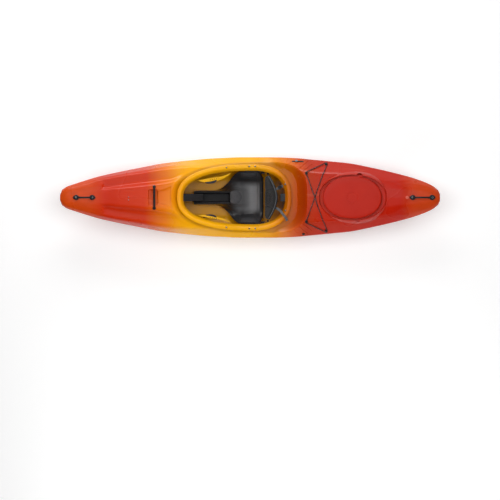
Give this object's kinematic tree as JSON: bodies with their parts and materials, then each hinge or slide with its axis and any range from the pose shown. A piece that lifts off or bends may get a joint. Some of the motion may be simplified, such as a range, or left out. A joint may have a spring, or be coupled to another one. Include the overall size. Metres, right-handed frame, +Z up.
{
  "type": "whitewater kayak",
  "caption": "Crossover river kayak: moulded hull with flared bow, sunken cockpit deck, bucket seat, thigh braces, backband, foot rests, oval stern hatch, deck bungee and drop skeg",
  "frame": {"origin": "on the ground under the middle of the boat, halfway along its length on the keel line", "axes": "+X runs to the stern and the bow points to -X, +Y is starboard, +Z is up"},
  "size_m": [3.05, 0.6464, 0.4],
  "materials": {
    "hull": "satin",
    "hatch": "satin",
    "brace": "satin",
    "seat": "satin",
    "black_plastic": "matte",
    "grey_plastic": "matte",
    "foam": "matte",
    "cloth": "matte",
    "webbing": "matte",
    "cord": "matte",
    "seal": "matte",
    "plug": "satin",
    "steel": "polished"
  },
  "bodies": {
    "boat": {"hull_shell": "hull", "bow_pillar": "foam", "stern_pillar": "foam", "rear_bulkhead": "foam", "seat_pan": "seat", "hip_pad_port": "foam", "hip_pad_starboard": "foam", "thigh_brace_port": "brace", "thigh_brace_starboard": "brace", "thigh_pad_port": "foam", "thigh_pad_starboard": "foam", "seat_bolt_port_fore": "steel", "seat_bolt_port_aft": "steel", "seat_bolt_starboard_fore": "steel", "seat_bolt_starboard_aft": "steel", "thigh_brace_bolt_port": "steel", "thigh_brace_bolt_starboard": "steel", "backband_bolt_port": "steel", "backband_bolt_starboard": "steel", "foot_rail_port": "black_plastic", "foot_rail_starboard": "black_plastic", "foot_rail_bolt_port_fore": "steel", "foot_rail_bolt_port_aft": "steel", "foot_rail_bolt_starboard_fore": "steel", "foot_rail_bolt_starboard_aft": "steel", "bow_handle": "black_plastic", "stern_handle": "black_plastic", "deck_bar": "black_plastic", "bungee_button_port_fore": "black_plastic", "bungee_button_port_aft": "black_plastic", "bungee_button_starboard_fore": "black_plastic", "bungee_button_starboard_aft": "black_plastic", "shoulder_button": "black_plastic", "skeg_trunk": "black_plastic", "skeg_pivot_pin": "steel", "skeg_slider_track": "black_plastic", "skeg_control_tube": "black_plastic", "ratchet_port": "black_plastic", "ratchet_starboard": "black_plastic", "rear_strap_port": "webbing", "rear_strap_starboard": "webbing", "deck_bungee": "cord"},
    "skeg": {"skeg_blade": "black_plastic"},
    "skeg_slider": {"skeg_slider_knob": "grey_plastic"},
    "hatch_lid": {"hatch_cover": "hatch", "hatch_seal": "seal"},
    "drain": {"drain_plug": "plug"},
    "backband": {"backband_pad": "cloth", "backband_shell": "black_plastic", "ladder_strap_port": "black_plastic", "ladder_strap_starboard": "black_plastic"},
    "lever_port": {"ratchet_lever_port": "black_plastic"},
    "lever_starboard": {"ratchet_lever_starboard": "black_plastic"},
    "foot_rest_port": {"foot_peg_port": "black_plastic"},
    "foot_rest_starboard": {"foot_peg_starboard": "black_plastic"},
    "trigger_port": {"foot_peg_trigger_port": "black_plastic"},
    "trigger_starboard": {"foot_peg_trigger_starboard": "black_plastic"}
  },
  "joints": [
    {"name": "skeg_drop", "type": "hinge", "parent": "boat", "child": "skeg", "pos_m": [0.89914, 0, 0.08211], "axis": [0, 1, 0], "range_deg": [-19, 35]},
    {"name": "skeg_slide", "type": "slide", "parent": "boat", "child": "skeg_slider", "axis": [0.9964, 0, -0.0849], "range_m": [-0.0156, 0.0286]},
    {"name": "hatch_lift", "type": "slide", "parent": "boat", "child": "hatch_lid", "axis": [-0.0295, 0, 0.9996], "range_m": [0, 0.06]},
    {"name": "drain_pull", "type": "slide", "parent": "boat", "child": "drain", "axis": [0.0159, 0, 0.9999], "range_m": [0, 0.02]},
    {"name": "backband_slide", "type": "slide", "parent": "boat", "child": "backband", "axis": [1, 0, 0], "range_m": [-0.015, 0.01], "deforming": ["rear_strap_port", "rear_strap_starboard"]},
    {"name": "ratchet_port_turn", "type": "hinge", "parent": "boat", "child": "lever_port", "pos_m": [0.1137, -0.1947, 0.166], "axis": [0, 0, -1], "range_deg": [0, 50], "stiffness_Nm_per_rad": 0.03, "springref_deg": -17.19},
    {"name": "ratchet_starboard_turn", "type": "hinge", "parent": "boat", "child": "lever_starboard", "pos_m": [0.1137, 0.1947, 0.166], "axis": [0, 0, 1], "range_deg": [0, 50], "stiffness_Nm_per_rad": 0.03, "springref_deg": -17.19},
    {"name": "foot_peg_port_slide", "type": "slide", "parent": "boat", "child": "foot_rest_port", "axis": [0.9701, -0.2157, -0.1115], "range_m": [-0.1, 0.12]},
    {"name": "foot_peg_starboard_slide", "type": "slide", "parent": "boat", "child": "foot_rest_starboard", "axis": [0.9701, 0.2157, -0.1115], "range_m": [-0.1, 0.12]},
    {"name": "trigger_port_turn", "type": "hinge", "parent": "foot_rest_port", "child": "trigger_port", "pos_m": [-0.89425, -0.15834, 0.22049], "axis": [0.2428, 0.8676, 0.4339], "range_deg": [0, 16], "stiffness_Nm_per_rad": 0.05, "springref_deg": -11.46},
    {"name": "trigger_starboard_turn", "type": "hinge", "parent": "foot_rest_starboard", "child": "trigger_starboard", "pos_m": [-0.89425, 0.15834, 0.22049], "axis": [-0.2428, 0.8676, -0.4339], "range_deg": [0, 16], "stiffness_Nm_per_rad": 0.05, "springref_deg": -11.46}
  ],
  "couplings": [
    {"joint": "skeg_slide", "follows": "skeg_drop", "m_per_rad": 0.0467}
  ]
}
